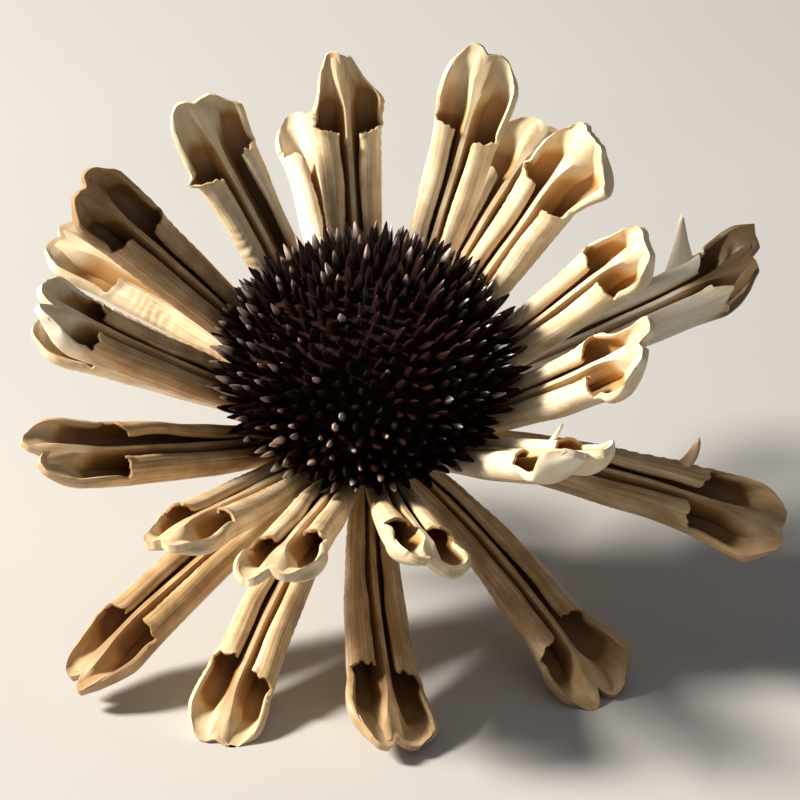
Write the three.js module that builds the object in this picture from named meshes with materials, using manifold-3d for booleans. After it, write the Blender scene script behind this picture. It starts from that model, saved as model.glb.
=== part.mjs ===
// A dried flower head: a dark bristly cone in a cup of thirteen raised petals, ten more petals spread
// flat below them, and a short cut stem. Each petal is half of a dried seed husk with two chambers:
// two rolled flaps cover them for most of its length, and they end in open pockets and a pale lip.
// Millimetres, +Z up. It lies as picked: the head leans towards -Y on its lower petals and on the
// slanted cut of its stem, and the origin is on the surface, under the middle of it all.
import * as THREE from "three";
import { mergeVertices } from "three/addons/utils/BufferGeometryUtils.js";
import Module from "manifold-3d";

const wasm = await Module();
wasm.setup();

const degree = Math.PI / 180;

// How the head lies. Its own frame has the stem's axis as Z and the middle of the collar as origin.
const lean = 30 * degree;
const stemReach = 25; // from the collar's middle down the stem's axis to the surface
const stemFoot = [-3.4, 16]; // where that axis meets the surface

// The collar that the petals grow from, round the stem's neck.
const collar = { hole: 2.75, outside: 8.6, bevel: 1.6, low: -3, high: 2.6 };
const upperRoot = { reach: 7.2, height: 0.5 }; // where a petal's middle line starts
const lowerRoot = { reach: 6.6, height: -1.4 };

// One row for each petal: turn is counted from -Y towards +X and rise, from level, is that of the
// line from its root to its tip, both in degrees. long is its length in millimetres. roll turns the
// tip about the petal's own length, curl bends it upwards and sweep bends it to its left, in degrees.
// mouths are how far the left and right pockets start beyond their usual place, and lobes how far the
// two halves of the lip stand out, in millimetres. hook: 1 is for a thorn left standing on a flap.
const upperPetals = [
  { turn: -175, rise: 43, long: 36, roll: 4, curl: 10, sweep: 0, mouths: [0.3, 0], lobes: [1.6, 0.2] },
  { turn: -143, rise: 43, long: 36, roll: -14, curl: 12, sweep: 5, mouths: [-1, 1.4], lobes: [0.8, 0.4] },
  { turn: -114, rise: 41, long: 38, roll: -10, curl: 8, sweep: 4, mouths: [1.2, -0.6], lobes: [0.2, 1] },
  { turn: -87, rise: 40, long: 37, roll: -4, curl: 6, sweep: -6, mouths: [0, 1], lobes: [1.4, 0.6] },
  { turn: -63, rise: 31, long: 39, roll: -6, curl: -10, sweep: -22, mouths: [0.6, -0.8], lobes: [0.4, 0.9] },
  { turn: -37, rise: 33, long: 36.5, roll: 16, curl: -6, sweep: -6, mouths: [-0.4, 0.8], lobes: [0.3, 0.8] },
  { turn: -17, rise: 37, long: 37, roll: 10, curl: 4, sweep: -8, mouths: [0.8, 0], lobes: [1.5, 0.3] },
  { turn: 12, rise: 40, long: 37, roll: -22, curl: 10, sweep: 6, mouths: [0, 0.9], lobes: [0.4, 1.7] },
  { turn: 48, rise: 43, long: 36, roll: -18, curl: 8, sweep: 0, mouths: [0.9, 0], lobes: [1, 0.6], hook: 1 },
  { turn: 76, rise: 46, long: 36, roll: 14, curl: 17, sweep: 4, mouths: [-0.6, 0.8], lobes: [1.2, 1] },
  { turn: 101, rise: 46, long: 36, roll: 6, curl: 15, sweep: -6, mouths: [0, 0.6], lobes: [0.6, 0.3] },
  { turn: 130, rise: 44, long: 36, roll: -6, curl: 10, sweep: -5, mouths: [1, -0.8], lobes: [0.9, 2.2] },
  { turn: 157, rise: 42, long: 38, roll: 8, curl: 8, sweep: 3, mouths: [0.4, -0.4], lobes: [1.2, 0.7] },
];
const lowerPetals = [
  { turn: -43, rise: 0, long: 41.5, roll: 14, curl: -6, sweep: 6, mouths: [0, 0.8], lobes: [1.2, 0.4] },
  { turn: -21, rise: 2.5, long: 40.5, roll: 4, curl: 0, sweep: 10, mouths: [0.7, -0.4], lobes: [0.5, 0.8] },
  { turn: 4, rise: 7.5, long: 39.5, roll: -22, curl: 10, sweep: 12, mouths: [0.4, 0], lobes: [0.6, 1.8] },
  { turn: 36, rise: -3.4, long: 38, roll: -6, curl: -4, sweep: -16, mouths: [-0.6, 0.9], lobes: [0.9, 0.9] },
  { turn: 71, rise: 3, long: 43.5, roll: 6, curl: -14, sweep: -4, mouths: [1, 0], lobes: [0.6, 1], hook: 1 },
  { turn: 112, rise: 8, long: 42.5, roll: -8, curl: 6, sweep: 5, mouths: [0, -0.8], lobes: [1.9, 0.6], hook: 1 },
  { turn: 152, rise: 6, long: 38.5, roll: 6, curl: 6, sweep: -6, mouths: [0.5, 0.5], lobes: [0.7, 0.4] },
  { turn: -170, rise: 3, long: 36.5, roll: -8, curl: 10, sweep: 4, mouths: [0, 1], lobes: [1, 0.8] },
  { turn: -123, rise: 4, long: 37.5, roll: 10, curl: 6, sweep: 8, mouths: [-0.8, 0.4], lobes: [0.5, 1.1] },
  { turn: -99, rise: 18, long: 36, roll: -6, curl: 4, sweep: -4, mouths: [0.6, 0], lobes: [0.8, 0.5] },
];

// Sections of a petal from root to tip. at is the share of its length at its outside, and over is
// that of the points of its upper face, which run back under the flaps at a pocket's mouth.
// half is the half width, belly the depth below the middle line, and the rest are heights above it,
// in millimetres: the rim, the crown of a flap, its free edge, the slit beside the ridge, the ridge.
const huskSections = [
  { at: 0, half: 2, belly: 1.2, rim: 0.3, crown: 0.9, edge: 0.7, slit: 0, ridge: 0.6 },
  { at: 0.2, half: 2.6, belly: 1.5, rim: 0.5, crown: 1.2, edge: 0.9, slit: -0.1, ridge: 0.8 },
  { at: 0.44, half: 3.3, belly: 1.8, rim: 0.7, crown: 1.5, edge: 1.1, slit: -0.2, ridge: 1 },
  { at: 0.66, half: 3.8, belly: 2, rim: 0.8, crown: 1.6, edge: 1.2, slit: -0.2, ridge: 1.1 },
  { at: 0.755, over: 0.775, half: 4.05, belly: 2.1, rim: 0.9, crown: 1.7, edge: 1.3, slit: -0.2, ridge: 1.15 },
  { at: 0.785, over: 0.778, half: 4.15, belly: 2.1, rim: 0.9, crown: 1, edge: 0.7, slit: -0.4, ridge: 1.15 },
  { at: 0.815, over: 0.73, half: 4.25, belly: 2.1, rim: 0.95, crown: -1.2, edge: -1.2, slit: -0.8, ridge: 1.1 },
  { at: 0.865, half: 4.35, belly: 2.1, rim: 1, crown: -1.3, edge: -1.3, slit: -0.9, ridge: 1 },
  { at: 0.925, half: 4.3, belly: 1.7, rim: 0.95, crown: -0.5, edge: -0.4, slit: -0.1, ridge: 0.7 },
  { at: 0.965, half: 4, belly: 1.1, rim: 0.75, crown: 0.2, edge: 0.2, slit: 0.3, ridge: 0.45 },
  { at: 1, half: 3.1, belly: 0.4, rim: 0.5, crown: 0.45, edge: 0.4, slit: 0.35, ridge: 0.35 },
];
const mouthSections = [4, 7]; // first and last section whose upper face shifts with the mouths
const lipSections = 9; // the first section that the lobes draw out
const lipNotch = 1.1; // how far the lip's middle and corners lie behind its two lobes
const hookSize = { radius: 0.6, length: 5, sunk: 0.6, back: 3, lean: 20 * degree };

// The bristly cone: a core under its bristles, which stand on it in a sunflower spiral. It sits a
// little forward of the stem's axis.
const core = { radius: 14.8, middle: 10.9, height: 8.6, forward: 1.2, seat: 3.6, seatHeight: 4.2 };
const bowl = { reach: 0.66, height: 6.2, rimReach: 0.93, rimHeight: 8.9 }; // reaches are of the radius
const bristles = { count: 280, lowest: 90 * degree, radius: 0.92, sunk: 0.9, short: 2.4, long: 4 };
const bristleLift = 0.6; // how much the outermost bristles turn up
const goldenAngle = Math.PI * (3 - Math.sqrt(5));

// The stem: its outline from below the surface up to the neck in the collar, as [radius, height].
const stemOutline = [
  [0, -32],
  [2.15, -32],
  [2, -18],
  [1.95, -9.5],
  [2.5, -6.4],
  [4.2, -4.3],
  [5.8, -3.6],
  [5.8, -3.3],
  [2.45, -3.3],
  [2.3, 3.9],
  [0, 3.9],
];
const stemSides = 16;
const stemGroove = 0.9; // every second edge of the stem lies in by this share

const dryHusk = new THREE.MeshStandardMaterial({ color: 0xd2a868, roughness: 0.62, metalness: 0 });
const darkBristle = new THREE.MeshStandardMaterial({ color: 0x32130f, roughness: 0.42, metalness: 0 });
const driedStem = new THREE.MeshStandardMaterial({ color: 0x3a261a, roughness: 0.8, metalness: 0 });

// A closed geometry as a solid that can be joined and cut.
function solidOf(geometry) {
  const bare = geometry.clone();
  bare.deleteAttribute("normal");
  bare.deleteAttribute("uv");
  const merged = mergeVertices(bare, 1e-4);
  const vertProperties = new Float32Array(merged.attributes.position.array);
  const triVerts = new Uint32Array(merged.index.array);
  return new wasm.Manifold(new wasm.Mesh({ numProp: 3, vertProperties, triVerts }));
}

// The way back: a solid as a geometry with flat shading.
function geometryOf(solid) {
  const mesh = solid.getMesh();
  const geometry = new THREE.BufferGeometry();
  geometry.setAttribute("position", new THREE.BufferAttribute(new Float32Array(mesh.vertProperties), 3));
  geometry.setIndex(new THREE.BufferAttribute(new Uint32Array(mesh.triVerts), 1));
  const faceted = geometry.toNonIndexed();
  faceted.computeVertexNormals();
  return faceted;
}

// Cuts a solid of the head's frame off at the surface that the head lies on.
function laidFlat(solid) {
  return solid.trimByPlane([0, Math.sin(lean), Math.cos(lean)], -stemReach * Math.cos(lean));
}

// The points round one section of a petal, as [across, height, side, isUpperFace].
// side is 1 on the left half, -1 on the right and 0 in the middle.
function sectionPoints(section) {
  const half = (side) => [
    [0.5 * section.half * side, -section.belly, side, false],
    [section.half * side, -0.2 * section.belly, side, false],
    [0.9 * section.half * side, section.rim, side, false],
    [0.58 * section.half * side, section.crown, side, true],
    [0.3 * section.half * side, section.edge, side, true],
    [0.17 * section.half * side, section.slit, side, true],
  ];
  const groove = [0, -0.6 * section.belly, 0, false];
  const ridge = [0, section.ridge, 0, false];
  return [groove, ...half(-1), ridge, ...half(1).reverse()];
}

// Lays a straight petal's point on its curled, swept and rolled middle line.
function onPetal(petal, along, across, height) {
  const share = along / petal.long;
  const roll = petal.roll * degree * share;
  const swept = (petal.sweep * degree * along * share) / 2;
  const y = swept + across * Math.cos(roll) - height * Math.sin(roll);
  const z = across * Math.sin(roll) + height * Math.cos(roll);
  const bend = (petal.curl * degree) / petal.long;
  const turned = bend * along;
  const x = bend === 0 ? along : Math.sin(turned) / bend;
  const lift = bend === 0 ? 0 : (1 - Math.cos(turned)) / bend;
  return new THREE.Vector3(x - z * Math.sin(turned), y, lift + z * Math.cos(turned));
}

// One petal along +X with its inner face up, as a solid.
function huskPetal(petal) {
  const positions = [];
  const faces = [];
  huskSections.forEach((section, ring) => {
    for (const [across, height, side, upperFace] of sectionPoints(section)) {
      const share = upperFace && section.over ? section.over : section.at;
      let along = share * petal.long;
      const inMouth = ring >= mouthSections[0] && ring < mouthSections[1];
      if (upperFace && inMouth) along += petal.mouths[side > 0 ? 0 : 1];
      if (ring >= lipSections) {
        const drawnOut = (ring - lipSections + 1) / (huskSections.length - lipSections);
        const fromLobe = (2 * Math.abs(across)) / section.half - 1;
        const lobe = side === 0 ? Math.min(...petal.lobes) : petal.lobes[side > 0 ? 0 : 1];
        along += (lobe - lipNotch * fromLobe ** 2) * drawnOut;
      }
      positions.push(...onPetal(petal, along, across, height).toArray());
    }
  });
  const around = sectionPoints(huskSections[0]).length;
  for (let ring = 0; ring + 1 < huskSections.length; ring++) {
    for (let i = 0; i < around; i++) {
      const a = ring * around + i;
      const b = ring * around + ((i + 1) % around);
      faces.push(a, a + around, b, b, a + around, b + around);
    }
  }
  const last = (huskSections.length - 1) * around;
  const outline = (section) => sectionPoints(section).map((p) => new THREE.Vector2(p[0], p[1]));
  for (const [a, b, c] of THREE.ShapeUtils.triangulateShape(outline(huskSections[0]), [])) {
    faces.push(c, b, a);
  }
  for (const [a, b, c] of THREE.ShapeUtils.triangulateShape(outline(huskSections.at(-1)), [])) {
    faces.push(last + a, last + b, last + c);
  }
  const geometry = new THREE.BufferGeometry();
  geometry.setAttribute("position", new THREE.Float32BufferAttribute(positions, 3));
  geometry.setIndex(faces);
  const husk = solidOf(geometry);
  return petal.hook ? husk.add(pocketHook(petal)) : husk;
}

// A thin thorn left standing on the edge of a petal's left pocket.
function pocketHook(petal) {
  const thorn = new THREE.ConeGeometry(hookSize.radius, hookSize.length, 4);
  thorn.rotateX(90 * degree).translate(0, 0, hookSize.length / 2 - hookSize.sunk);
  thorn.rotateY(hookSize.lean);
  const mouth = huskSections[mouthSections[0]];
  const along = mouth.over * petal.long + petal.mouths[0] - hookSize.back;
  const foot = onPetal(petal, along, 0.58 * mouth.half, mouth.crown - 0.3);
  return solidOf(thorn.translate(foot.x, foot.y, foot.z));
}

// Sets a petal on the collar, at its turn and rise.
function onCollar(petal, root) {
  const place = new THREE.Matrix4().makeRotationZ((petal.turn - 90) * degree);
  place.multiply(new THREE.Matrix4().makeTranslation(root.reach, 0, root.height));
  place.multiply(new THREE.Matrix4().makeRotationY(-(petal.rise - petal.curl / 2) * degree));
  place.multiply(new THREE.Matrix4().makeRotationZ((-petal.sweep / 2) * degree));
  return huskPetal(petal).transform(place.toArray());
}

function petals() {
  const ring = new THREE.LatheGeometry(
    [
      [collar.hole, collar.low],
      [collar.outside - collar.bevel, collar.low],
      [collar.outside, collar.low + collar.bevel],
      [collar.outside, collar.high - collar.bevel],
      [collar.outside - collar.bevel, collar.high],
      [collar.hole, collar.high],
      [collar.hole, collar.low],
    ].map(([r, z]) => new THREE.Vector2(r, z)),
    24,
  ).rotateX(90 * degree);
  const neckRoom = new THREE.CylinderGeometry(collar.hole, collar.hole, 20, 24).rotateX(90 * degree);
  const all = [
    solidOf(ring),
    ...upperPetals.map((petal) => onCollar(petal, upperRoot)),
    ...lowerPetals.map((petal) => onCollar(petal, lowerRoot)),
  ];
  return laidFlat(wasm.Manifold.union(all).subtract(solidOf(neckRoom)));
}

function bristlyCone() {
  const dome = new THREE.EllipseCurve(0, core.middle, core.radius, core.height, 0, 90 * degree).getPoints(7);
  const underside = [
    [0, core.seatHeight],
    [core.seat, core.seatHeight],
    [bowl.reach * core.radius, bowl.height],
    [bowl.rimReach * core.radius, bowl.rimHeight],
  ].map(([r, z]) => new THREE.Vector2(r, z));
  const outline = [...underside, ...dome];
  outline.at(-1).x = 0;
  const body = solidOf(new THREE.LatheGeometry(outline, 28).rotateX(90 * degree));
  const up = new THREE.Vector3(0, 1, 0);
  const thorns = [];
  for (let i = 0; i < bristles.count; i++) {
    const share = (i + 0.5) / bristles.count;
    const down = Math.acos(1 - (1 - Math.cos(bristles.lowest)) * share);
    const turn = i * goldenAngle;
    const out = new THREE.Vector3(Math.cos(turn), Math.sin(turn), 0);
    const foot = out.clone().multiplyScalar(core.radius * Math.sin(down));
    foot.z = core.middle + core.height * Math.cos(down);
    const way = out.clone().multiplyScalar(Math.sin(down));
    way.z = Math.cos(down) + bristleLift * Math.sin(down);
    way.normalize();
    const length = bristles.short + (bristles.long - bristles.short) * Math.sin(down) ** 2;
    const thorn = new THREE.ConeGeometry(bristles.radius, length + bristles.sunk, 3);
    thorn.rotateY(turn).translate(0, (length - bristles.sunk) / 2, 0);
    thorn.applyQuaternion(new THREE.Quaternion().setFromUnitVectors(up, way));
    thorns.push(solidOf(thorn.translate(foot.x, foot.y, foot.z)));
  }
  return wasm.Manifold.union([body, ...thorns]).translate([0, -core.forward, 0]);
}

function stem() {
  const points = stemOutline.map(([r, z]) => new THREE.Vector2(r, z));
  const geometry = new THREE.LatheGeometry(points, stemSides).rotateX(90 * degree);
  const place = geometry.attributes.position;
  for (let i = 0; i < place.count; i++) {
    const side = Math.round((Math.atan2(place.getY(i), place.getX(i)) * stemSides) / (2 * Math.PI));
    if (side % 2 === 0) continue;
    place.setX(i, place.getX(i) * stemGroove);
    place.setY(i, place.getY(i) * stemGroove);
  }
  return laidFlat(solidOf(geometry));
}

function node(name, solid, material) {
  const mesh = new THREE.Mesh(geometryOf(solid), material);
  mesh.name = name;
  return mesh;
}

const head = new THREE.Group();
head.add(node("petals", petals(), dryHusk));
head.add(node("cone", bristlyCone(), darkBristle));
head.add(node("stem", stem(), driedStem));
head.rotation.x = lean;
head.position.set(
  stemFoot[0],
  stemFoot[1] - stemReach * Math.sin(lean),
  stemReach * Math.cos(lean),
);

const flower = new THREE.Group();
flower.add(head);
export default flower;
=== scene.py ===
import math
import random

import bmesh
import bpy
import numpy as np
from mathutils import Matrix, Vector, noise


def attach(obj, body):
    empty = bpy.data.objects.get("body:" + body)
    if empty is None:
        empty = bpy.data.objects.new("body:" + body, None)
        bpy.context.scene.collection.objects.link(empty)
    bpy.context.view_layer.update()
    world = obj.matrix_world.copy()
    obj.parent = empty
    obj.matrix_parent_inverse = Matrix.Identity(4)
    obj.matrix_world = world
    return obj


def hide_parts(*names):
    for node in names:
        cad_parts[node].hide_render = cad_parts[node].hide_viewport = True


# A dried flower head: a dark bristly cone in two tiers of split, two-chambered seed husks, on a
# short cut stem. Each piece is modelled in millimetres in the head's own frame (stem's axis = Z,
# middle of the collar = origin) and then laid in place in metres.

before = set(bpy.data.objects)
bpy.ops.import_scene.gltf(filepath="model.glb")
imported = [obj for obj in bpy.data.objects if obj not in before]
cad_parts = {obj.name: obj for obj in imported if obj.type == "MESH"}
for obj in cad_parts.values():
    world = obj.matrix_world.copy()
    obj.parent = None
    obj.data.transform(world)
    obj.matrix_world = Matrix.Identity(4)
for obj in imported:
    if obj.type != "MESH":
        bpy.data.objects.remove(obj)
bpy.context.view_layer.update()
draw = random.Random(41)
degree = math.pi / 180

# ---- how the head lies
laid = {
    "lean": 30 * degree,  # of the head's axis, forward
    "stemReach": 25,  # from the collar's middle down to the surface
    "stemFoot": (-3.4, 16),  # where the stem's axis meets the surface
}
hubHeight = laid["stemReach"] * math.cos(laid["lean"])
hub = Vector((
    laid["stemFoot"][0],
    laid["stemFoot"][1] - laid["stemReach"] * math.sin(laid["lean"]),
    hubHeight,
))
headPlace = Matrix.Translation(hub) @ Matrix.Rotation(laid["lean"], 4, "X")
metres = Matrix.Scale(0.001, 4)


def deselectAll():
    bpy.ops.object.select_all(action="DESELECT")


def nameNew(name):  # names the primitive that was just added, or what was just joined
    piece = bpy.context.object
    piece.name = name
    piece.data.name = name
    return piece


def editFaces(piece, wanted):  # opens edit mode with just the wanted faces selected
    bpy.ops.object.mode_set(mode="EDIT")
    bpy.ops.mesh.select_mode(type="FACE")
    bpy.ops.mesh.select_all(action="DESELECT")
    cage = bmesh.from_edit_mesh(piece.data)
    for face in cage.faces:
        face.select_set(wanted(face))
    bmesh.update_edit_mesh(piece.data)


def applyModifiers(piece):
    deselectAll()
    piece.select_set(True)
    bpy.context.view_layer.objects.active = piece
    for modifier in list(piece.modifiers):
        bpy.ops.object.modifier_apply(modifier=modifier.name)


def copyOf(piece, name):  # a copy with a mesh of its own
    twin = piece.copy()
    twin.data = piece.data.copy()
    twin.name = name
    twin.data.name = name
    bpy.context.scene.collection.objects.link(twin)
    return twin


def joined(parts, name):
    deselectAll()
    for part in parts:
        part.select_set(True)
    bpy.context.view_layer.objects.active = parts[0]
    bpy.ops.object.join()
    return nameNew(name)


def pointsOf(piece, field="co"):  # the field "normal" gives their normals instead
    flat = np.empty(len(piece.data.vertices) * 3, np.float32)
    piece.data.vertices.foreach_get(field, flat)
    return flat.reshape(-1, 3).astype(float)


def movePoints(piece, points):
    piece.data.vertices.foreach_set("co", np.asarray(points, np.float32).ravel())
    piece.data.update()


def writeNumbers(piece, name, values):  # one value, or one vector, for each point
    kind, field = ("FLOAT_VECTOR", "vector") if np.ndim(values) == 2 else ("FLOAT", "value")
    layer = piece.data.attributes.get(name) or piece.data.attributes.new(name, kind, "POINT")
    layer.data.foreach_set(field, np.asarray(values, np.float32).ravel())


def readNumbers(piece, name):
    layer = piece.data.attributes[name]
    count = len(piece.data.vertices)
    shape, field = ((count, 3), "vector") if layer.data_type == "FLOAT_VECTOR" else (count, "value")
    values = np.empty(shape, np.float32)
    layer.data.foreach_get(field, values.ravel())
    return values.astype(float)


def weightsOf(piece, groupName):
    index = piece.vertex_groups[groupName].index
    weights = np.zeros(len(piece.data.vertices))
    for vertex in piece.data.vertices:
        for entry in vertex.groups:
            if entry.group == index:
                weights[vertex.index] = entry.weight
    return weights


def ease(low, high, values):  # 0 below low, 1 above high, and smooth between them
    share = np.clip((np.asarray(values, float) - low) / (high - low), 0, 1)
    return share * share * (3 - 2 * share)


def swelling(middle, reach, values):  # 1 at the middle, and falls away on both sides
    return np.exp(-(((values - middle) / reach) ** 2))


def smoothCurves(piece, sharpest):  # edges that turn by more degrees than that stay sharp
    deselectAll()
    piece.select_set(True)
    bpy.context.view_layer.objects.active = piece
    bpy.ops.object.shade_smooth_by_angle(angle=sharpest * degree)


# lays a piece in place and ties it to the frame
def finishPiece(piece, node, materials):
    piece.data.transform(metres @ headPlace)
    points = pointsOf(piece)
    points[:, 2] = np.maximum(points[:, 2], 0.00002)  # what it rests on presses flat
    movePoints(piece, points)
    piece.data.materials.clear()
    for material in materials:
        piece.data.materials.append(material)
    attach(piece, "root")
    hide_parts(node)


# ---- materials
def linear(hexColour):
    parts = [int(hexColour[i : i + 2], 16) / 255 for i in (1, 3, 5)]
    return [p / 12.92 if p <= 0.04045 else ((p + 0.055) / 1.055) ** 2.4 for p in parts] + [1]


# A socket goes by its name, or by its number where names repeat: on Mix 0 is the share, 2 and 3
# the numbers and 6 and 7 the colours, and on MapRange 1 and 2 are the range and 3 and 4 its result.
def addNode(material, kind, inputs=None, stops=None, **settings):
    tree = material.node_tree
    node = tree.nodes.new("ShaderNode" + kind)
    for name, value in settings.items():
        setattr(node, name, value)
    for name, value in (inputs or {}).items():
        if isinstance(value, bpy.types.NodeSocket):
            tree.links.new(value, node.inputs[name])
        else:
            node.inputs[name].default_value = value
    for i, (position, colour) in enumerate(stops or []):
        ramp = node.color_ramp.elements
        element = ramp[i] if i < 2 else ramp.new(position)
        element.position = position
        element.color = linear(colour) if isinstance(colour, str) else (colour, colour, colour, 1)
    return node


def newMaterial(name):
    material = bpy.data.materials.new(name)
    material.use_nodes = True
    material.node_tree.nodes.clear()
    return material


huskLook = {
    "fibre": (9.0, 0.34),  # mm long and wide; a real one is 0.1 wide, drawn coarser so that it shows
    "mottle": 3.2,  # mm across a fleck
    "blotch": 7.7,  # mm across a stain
    "paleSkin": "#FAF3E3",
    "strawSkin": "#E7D2AD",
    "tanSkin": "#B69369",
    # the darkest skin: weathering, and painted shade on petals that lie in shade
    "weatheredAndShaded": "#6C5433",
    "stain": "#7C5838",
    "cup": "#D0A66C",
    # the brown that a pocket reaches deep inside and on browner petals: painted shade, plus those
    # petals' own browning
    "brownedAndShadedCup": "#866039",
    "roughness": 0.45,
}


def makeHuskWood():
    # Dried woody husk, split open and bleached: straw-pale, half-dull, with long fine fibres on its
    # skin, broad brown stains and orange-brown pockets; painted shade darkens the pockets deep inside
    # and darkens shaded petals.
    look = huskLook
    husk = newMaterial("driedHuskWood")
    place = addNode(husk, "Attribute", attribute_name="grainPlace").outputs["Vector"]
    pocket = addNode(husk, "Attribute", attribute_name="pocket").outputs["Fac"]
    tone = addNode(husk, "Attribute", attribute_name="tone").outputs["Fac"]
    stretched = addNode(
        husk,
        "VectorMath",
        {0: place, 1: (1 / look["fibre"][0], 1 / look["fibre"][1], 1)},
        operation="MULTIPLY",
    )
    strands = addNode(
        husk, "TexNoise", {"Vector": stretched.outputs[0], "Scale": 1.0, "Detail": 5.0}
    )
    lip = addNode(husk, "Attribute", attribute_name="lip").outputs["Fac"]
    calm = addNode(husk, "Math", {0: lip, 1: 0.72}, operation="MULTIPLY")  # a lip is smooth
    fibres = addNode(husk, "Mix", {0: calm.outputs[0], 2: strands.outputs["Fac"], 3: 0.46})
    mottle = addNode(
        husk, "TexNoise", {"Vector": place, "Scale": 1 / look["mottle"], "Detail": 4.0}
    )
    blend = addNode(
        husk,
        "Mix",
        {0: 0.45, 2: fibres.outputs[0], 3: mottle.outputs["Fac"]},
    )
    # the tone browns the skin: each petal's own tone, with painted shade or painted light in it
    toned = addNode(husk, "Math", {0: blend.outputs[0], 1: tone}, operation="ADD")
    skin = addNode(
        husk,
        "ValToRGB",
        {"Fac": toned.outputs[0]},
        stops=[
            (0.3, look["paleSkin"]),
            (0.5, look["strawSkin"]),
            (0.74, look["tanSkin"]),
            (1.0, look["weatheredAndShaded"]),
        ],
    )
    # brown stains, broad and soft
    blotch = addNode(
        husk, "TexNoise", {"Vector": place, "Scale": 1 / look["blotch"], "Detail": 3.0}
    )
    stainShare = addNode(
        husk, "MapRange", {"Value": blotch.outputs["Fac"], 1: 0.56, 2: 0.8, 3: 0.0, 4: 0.55}
    )
    stained = addNode(
        husk,
        "Mix",
        {0: stainShare.outputs[0], 6: skin.outputs["Color"], 7: linear(look["stain"])},
        data_type="RGBA",
    )
    # painted shade: a petal's tone, which holds its shade, and a pocket's depth together darken the cup
    depth = addNode(husk, "Math", {0: tone, 1: 1.6, 2: pocket}, operation="MULTIPLY_ADD")
    cupColour = addNode(
        husk,
        "ValToRGB",
        {"Fac": depth.outputs[0]},
        stops=[(0.45, look["cup"]), (1.0, look["brownedAndShadedCup"])],
    )
    cupGrain = addNode(
        husk,
        "Mix",
        {0: 0.3, 6: cupColour.outputs["Color"], 7: skin.outputs["Color"]},
        data_type="RGBA",
        blend_type="MULTIPLY",
    )
    cupShare = addNode(husk, "MapRange", {"Value": pocket, 1: 0.05, 2: 0.5, 3: 0.0, 4: 1.0})
    colour = addNode(
        husk,
        "Mix",
        {0: cupShare.outputs[0], 6: stained.outputs[2], 7: cupGrain.outputs[2]},
        data_type="RGBA",
    )
    dull = addNode(
        husk,
        "MapRange",
        {
            "Value": mottle.outputs["Fac"],
            1: 0.3,
            2: 0.7,
            3: look["roughness"] - 0.09,
            4: look["roughness"] + 0.12,
        },
    )
    relief = addNode(
        husk,
        "Bump",
        {"Height": fibres.outputs[0], "Strength": 0.45, "Distance": 0.00012},
    )
    shader = addNode(
        husk,
        "BsdfPrincipled",
        {
            "Base Color": colour.outputs[2],
            "Roughness": dull.outputs[0],
            "Normal": relief.outputs[0],
            "IOR": 1.5,
        },
    )
    addNode(husk, "OutputMaterial", {"Surface": shader.outputs[0]})
    return husk


bristleLook = {
    "shaft": "#2A1915",
    "warm": "#2B1714",
    "tip": "#2D1B18",
    "glintColour": "#E2CBC1",  # painted glint on a few tips
    "grain": 1.1,  # mm from streak to streak
    "roughness": 0.24,
}


def makeBristleHorn():
    # Horny dried bristle: near-black maroon, smooth and hard, so a tip catches a small glint. Here and
    # there a tip also has a pale painted glint.
    look = bristleLook
    horn = newMaterial("darkBristleHorn")
    tip = addNode(horn, "Attribute", attribute_name="tip").outputs["Fac"]
    tone = addNode(horn, "Attribute", attribute_name="tone").outputs["Fac"]
    spot = addNode(horn, "TexCoord").outputs["Object"]
    grain = addNode(
        horn, "TexNoise", {"Vector": spot, "Scale": 1000 / look["grain"], "Detail": 3.0}
    )
    climb = addNode(horn, "Math", {0: tip, 1: tone}, operation="ADD")
    colour = addNode(
        horn,
        "ValToRGB",
        {"Fac": climb.outputs[0]},
        stops=[(0.3, look["shaft"]), (0.85, look["warm"]), (1.0, look["tip"])],
    )
    broken = addNode(
        horn,
        "Mix",
        {0: 0.4, 6: colour.outputs["Color"], 7: grain.outputs["Fac"]},
        data_type="RGBA",
        blend_type="MULTIPLY",
    )
    # painted glint: a pale colour on a few tips, mostly on the lit left
    paintedGlint = addNode(horn, "Attribute", attribute_name="paintedGlint").outputs["Fac"]
    glinted = addNode(
        horn,
        "Mix",
        {0: paintedGlint, 6: broken.outputs[2], 7: linear(look["glintColour"])},
        data_type="RGBA",
    )
    relief = addNode(
        horn, "Bump", {"Height": grain.outputs["Fac"], "Strength": 0.35, "Distance": 0.0001}
    )
    shader = addNode(
        horn,
        "BsdfPrincipled",
        {
            "Base Color": glinted.outputs[2],
            "Roughness": look["roughness"],
            "Specular IOR Level": 0.28,
            "Normal": relief.outputs[0],
            "IOR": 1.52,
        },
    )
    addNode(horn, "OutputMaterial", {"Surface": shader.outputs[0]})
    return horn


chaffLook = {
    "dark": "#1B0F0C",
    "brown": "#2E1A15",
    "grit": 0.7,  # mm across a crumb
    "roughness": 0.95,
}


def makeChaff():
    # Dry chaff packed between the bristles: near-black, crumbly and quite dull.
    look = chaffLook
    chaff = newMaterial("dryChaff")
    spot = addNode(chaff, "TexCoord").outputs["Object"]
    crumbs = addNode(chaff, "TexVoronoi", {"Vector": spot, "Scale": 1000 / look["grit"]})
    colour = addNode(
        chaff,
        "ValToRGB",
        {"Fac": crumbs.outputs["Distance"]},
        stops=[(0.2, look["brown"]), (0.8, look["dark"])],
    )
    relief = addNode(
        chaff, "Bump", {"Height": crumbs.outputs["Distance"], "Strength": 0.8, "Distance": 0.0003}
    )
    shader = addNode(
        chaff,
        "BsdfPrincipled",
        {
            "Base Color": colour.outputs["Color"],
            "Roughness": look["roughness"],
            "Specular IOR Level": 0.12,
            "Normal": relief.outputs[0],
        },
    )
    addNode(chaff, "OutputMaterial", {"Surface": shader.outputs[0]})
    return chaff


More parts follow.
